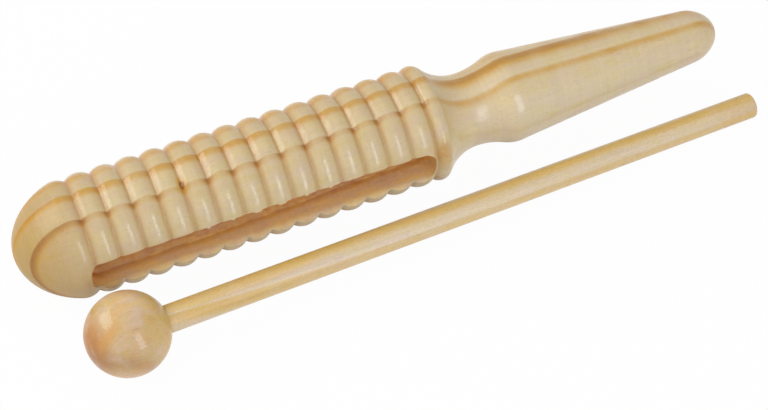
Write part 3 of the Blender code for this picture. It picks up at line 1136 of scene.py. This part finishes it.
@dataclass
class BeaterBall(TurnedPiece):
    """The beater's ball, drilled for its stick, with the edge of the socket eased."""

    bench: Bench
    radius: float
    name: str = "beater_ball_turned"
    node: str = "beater_ball"
    body: Body = Body.BEATER
    slot: Slot = Slot.BALL_WOOD
    wood: WoodFinish = BALL
    socket_radius: float = 5.3
    socket_depth: float = 20.0
    socket_ease: float = 0.35
    steps: int = 144
    rows: int = 110
    edge_rows: int = 5
    bore_rows: int = 11

    def build(self) -> bpy.types.Object:
        """Turn the ball about its stick: a sphere to the socket's eased edge, the bore and its flat floor.

        Returns:
            The piece, with its end grain marked.
        """
        mouth = math.asin((self.socket_radius + self.socket_ease) / self.radius)
        around = np.linspace(0, math.pi - mouth, self.rows)
        edge = np.linspace(0, math.pi / 2, self.edge_rows + 1)[1:]
        top = self.radius * math.cos(mouth)
        floor = self.radius - self.socket_depth
        bore = np.linspace(top - self.socket_ease, floor, self.bore_rows + 1)[1:]
        heights = np.concatenate([-self.radius * np.cos(around), top - self.socket_ease * (1 - np.cos(edge)),
                                  bore, [floor]])
        radii = np.concatenate([self.radius * np.sin(around),
                                self.socket_radius + self.socket_ease * (1 - np.sin(edge)),
                                np.full(len(bore), self.socket_radius), [0.0]])
        return self.lay(*turned_shell(heights, radii, self.steps))


@dataclass
class BeaterStick(TurnedPiece):
    """The beater's dowel: a slight taper from the ball to a sawn butt with an eased edge."""

    bench: Bench
    butt: float
    name: str = "beater_stick_dowel"
    node: str = "beater_stick"
    body: Body = Body.BEATER
    slot: Slot = Slot.STICK_WOOD
    wood: WoodFinish = STICK
    start: float = -4.7
    start_radius: float = 5.0
    butt_radius: float = 4.8
    edge_radius: float = 0.8
    steps: int = 96
    rows: int = 160
    edge_rows: int = 7
    face_rows: int = 5

    def build(self) -> bpy.types.Object:
        """Turn the dowel: a flat end in the socket, a straight taper, a quarter round and the flat butt.

        Returns:
            The piece, with its end grain marked.
        """
        edge = np.linspace(0, math.pi / 2, self.edge_rows + 1)[1:]
        length = np.linspace(self.start, self.butt - self.edge_radius, self.rows)
        share = (length - self.start) / (length[-1] - self.start)
        face = np.linspace(self.butt_radius - self.edge_radius, 0, self.face_rows + 1)[1:]
        heights = np.concatenate([[self.start], length, self.butt - self.edge_radius * (1 - np.sin(edge)),
                                  np.full(len(face), self.butt)])
        radii = np.concatenate([[0.0], self.start_radius + (self.butt_radius - self.start_radius) * share,
                                self.butt_radius - self.edge_radius * (1 - np.cos(edge)), face])
        return self.lay(*turned_shell(heights, radii, self.steps))


def mount(name: str) -> dict:
    """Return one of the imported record's mounts by name."""
    return next(entry for entry in frame["record"]["mounts"] if entry["name"] == name)


def beater_pieces() -> tuple[BeaterBall, BeaterStick]:
    """Lay the beater's axis from the ball's centre to the middle of the butt.

    Returns:
        The ball and the stick, both turned about that axis.
    """
    low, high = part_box("beater_ball")
    radius = (high.z - low.z) / 2
    butt = mount("stick_butt")
    along = Vector(butt["axis"])
    centre = Vector((low.x + radius, (low.y + high.y) / 2, low.z + radius))
    length = (Vector(butt["pos_m"]) - centre).dot(along)
    turn = Euler((0, -math.asin(along.z), math.atan2(along.y, along.x)))
    bench = Bench(Vector(butt["pos_m"]) - length * along, turn)
    return BeaterBall(bench, radius / MM), BeaterStick(bench, length / MM)


@dataclass(frozen=True)
class Lamp:
    """A soft box: which way and how far it stands from the set, its sides, its power in watts and its colour.

    Distance and sides are in metres, and lean is its turn about the line to the set.
    """

    name: str
    toward: tuple[float, float, float]
    distance: float
    sides: Span
    power: float
    colour: tuple[float, float, float] = (1.0, 1.0, 1.0)
    lean: float = 0.0

    def hang(self, target: Vector) -> None:
        """Hang the lamp so that it faces the target."""
        light = bpy.data.lights.new(self.name, "AREA")
        light.shape = "RECTANGLE"
        light.size, light.size_y = self.sides
        light.energy = self.power
        light.color = self.colour
        lamp = bpy.data.objects.new(self.name, light)
        away = Vector(self.toward).normalized()
        lamp.location = target + away * self.distance
        lamp.rotation_euler = (away.to_track_quat("Z", "Y") @ Quaternion((0, 0, 1), self.lean)).to_euler()
        bpy.context.scene.collection.objects.link(lamp)


@dataclass
class Studio:
    """A white table in soft light, and the camera that looks down on it."""

    lamps: tuple[Lamp, ...] = (
        Lamp("overhead_box", (-0.12, 0.34, 1.0), 1.1, (0.9, 0.9), 1.9),
        Lamp("front_left_box", (-0.45, -0.68, 0.58), 1.1, (0.9, 0.6), 1.1),
        Lamp("front_box", (0.23, -0.85, 0.45), 1.0, (0.30, 0.80), 4.0, (0.78, 0.84, 1.0)),
        Lamp("left_box", (-0.66, 0.40, 0.58), 1.0, (0.44, 0.77), 4.6, (0.93, 0.97, 1.0),
             lean=math.radians(-61)),
    )
    ambient: float = 0.45
    floor_size: float = 6.0
    floor_points: int = 3
    floor_white: Colour = (236, 236, 236)
    floor_seen_white: float = 0.97
    sensor: float = 36.0
    image_width: float = 768.0
    focal_pixels: float = 1903.09
    camera_from_nose: tuple[float, float, float] = (-26.860, -393.004, 537.651)
    camera_dip: float = math.radians(53.664)
    camera_turn: float = math.radians(22.750)

    def seen(self, desk: Desk) -> Sock:
        """Return 1 for rays from the camera, from gloss and through glass, and 0 for light on things."""
        path = desk.node("ShaderNodeLightPath")
        rays = (path.sibling(f"Is {kind} Ray") for kind in ("Camera", "Glossy", "Transmission"))
        return sum(rays, 0.0).at_most(1.0)

    def lay_floor(self) -> None:
        """Lay the table top, which shows a share of plain white so that its shadows are faint, as stage."""
        half = self.floor_size / 2
        edge = np.linspace(-half, half, self.floor_points)
        across, away = np.meshgrid(edge, edge)
        points = np.stack([across.ravel(), away.ravel(), np.zeros(across.size)], axis=-1)
        quads = grid_quads(np.arange(across.size).reshape(across.shape))
        floor = make_piece("table_top", points, quads.reshape(-1, 4), np.zeros((0, 3), int))
        made = bpy.data.materials.new("white_table")
        made.use_nodes = True
        desk = Desk(made.node_tree)
        paint = desk.node("ShaderNodeBsdfDiffuse", {}, {"Color": linear(self.floor_white)})
        white = desk.node("ShaderNodeEmission", {}, {"Strength": 1.0})
        share = self.seen(desk) * self.floor_seen_white
        mixed = desk.node("ShaderNodeMixShader", {}, {0: share, 1: paint, 2: white})
        desk.node("ShaderNodeOutputMaterial", {}, {"Surface": mixed})
        floor.data.materials.append(made)

    def fill_room(self) -> None:
        """Fill the room with even white light, and with plain white where it is seen."""
        world = bpy.data.worlds.new("white_room")
        world.use_nodes = True
        bpy.context.scene.world = world
        desk = Desk(world.node_tree)
        strength = self.ambient + (1 - self.ambient) * self.seen(desk)
        room = desk.node("ShaderNodeBackground", {}, {"Strength": strength, "Color": (1.0, 1.0, 1.0, 1.0)})
        desk.node("ShaderNodeOutputWorld", {}, {"Surface": room})

    def set_camera(self, nose_tip: Vector) -> None:
        """Stand the camera where the photograph was taken, measured from the scraper's nose."""
        camera = bpy.data.cameras.new("camera")
        camera.sensor_width = self.sensor
        camera.sensor_fit = "HORIZONTAL"
        camera.lens = self.focal_pixels * self.sensor / self.image_width
        stand = bpy.data.objects.new("camera", camera)
        stand.location = nose_tip + Vector(self.camera_from_nose) * MM
        stand.rotation_euler = (math.pi / 2 - self.camera_dip, 0, -self.camera_turn)
        bpy.context.scene.collection.objects.link(stand)
        bpy.context.scene.camera = stand

    def set_up(self, nose_tip: Vector) -> None:
        """Lay the floor, light the set and stand the camera."""
        bpy.context.scene.view_settings.view_transform = "Standard"
        self.lay_floor()
        self.fill_room()
        for lamp in self.lamps:
            lamp.hang(Vector((0, 0, 0)))
        self.set_camera(nose_tip)


def main() -> None:
    """Build the scraper and its beater, dress them and set up the studio."""
    logging.basicConfig(level=logging.INFO, format="%(name)s: %(message)s")
    body = RidgedBody()
    ball, stick = beater_pieces()
    for maker in (body, ball, stick):
        piece = maker.build()
        maker.dress(piece)
        log.info("%s: %d points, %d faces", piece.name, len(piece.data.vertices), len(piece.data.polygons))
    Studio().set_up(body.bench.start)


if __name__ == "__main__":
    main()
